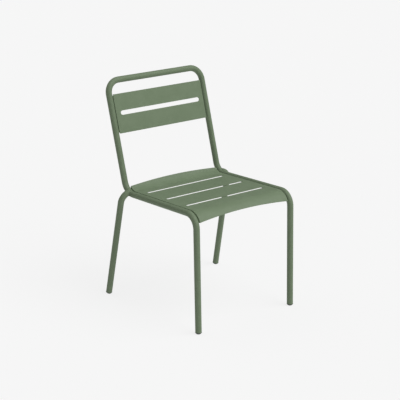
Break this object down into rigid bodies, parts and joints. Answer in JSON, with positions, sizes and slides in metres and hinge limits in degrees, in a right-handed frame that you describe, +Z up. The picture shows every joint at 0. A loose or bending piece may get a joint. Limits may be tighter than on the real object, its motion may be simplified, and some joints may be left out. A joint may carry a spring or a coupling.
{
  "type": "stacking chair",
  "caption": "Stacking chair with one bent tube frame, welded splayed rear legs, a slotted waterfall seat sheet and a slotted back sheet, on plastic glides.",
  "frame": {"origin": "on the floor, at the middle of the chair's width and depth", "axes": "+Z up, -Y the way the sitter faces, +X to the sitter's left"},
  "size_m": [0.5388, 0.5778, 0.82],
  "materials": {
    "tube_coat": "satin fine-texture powder coat, sage green",
    "sheet_coat": "satin fine-texture powder coat, sage green",
    "glide": "moulded dark grey plastic, fine matte grain"
  },
  "bodies": {
    "root": {"frame_tube": "tube_coat", "rear_leg_left": "tube_coat", "rear_leg_right": "tube_coat", "seat_sheet": "sheet_coat", "back_sheet": "sheet_coat", "glide_front_left": "glide", "glide_front_right": "glide", "glide_rear_left": "glide", "glide_rear_right": "glide", "weld_leg_left": "tube_coat", "weld_leg_right": "tube_coat", "weld_seat_left": "tube_coat", "weld_seat_right": "tube_coat", "weld_back_left": "tube_coat", "weld_back_right": "tube_coat"}
  },
  "joints": []
}
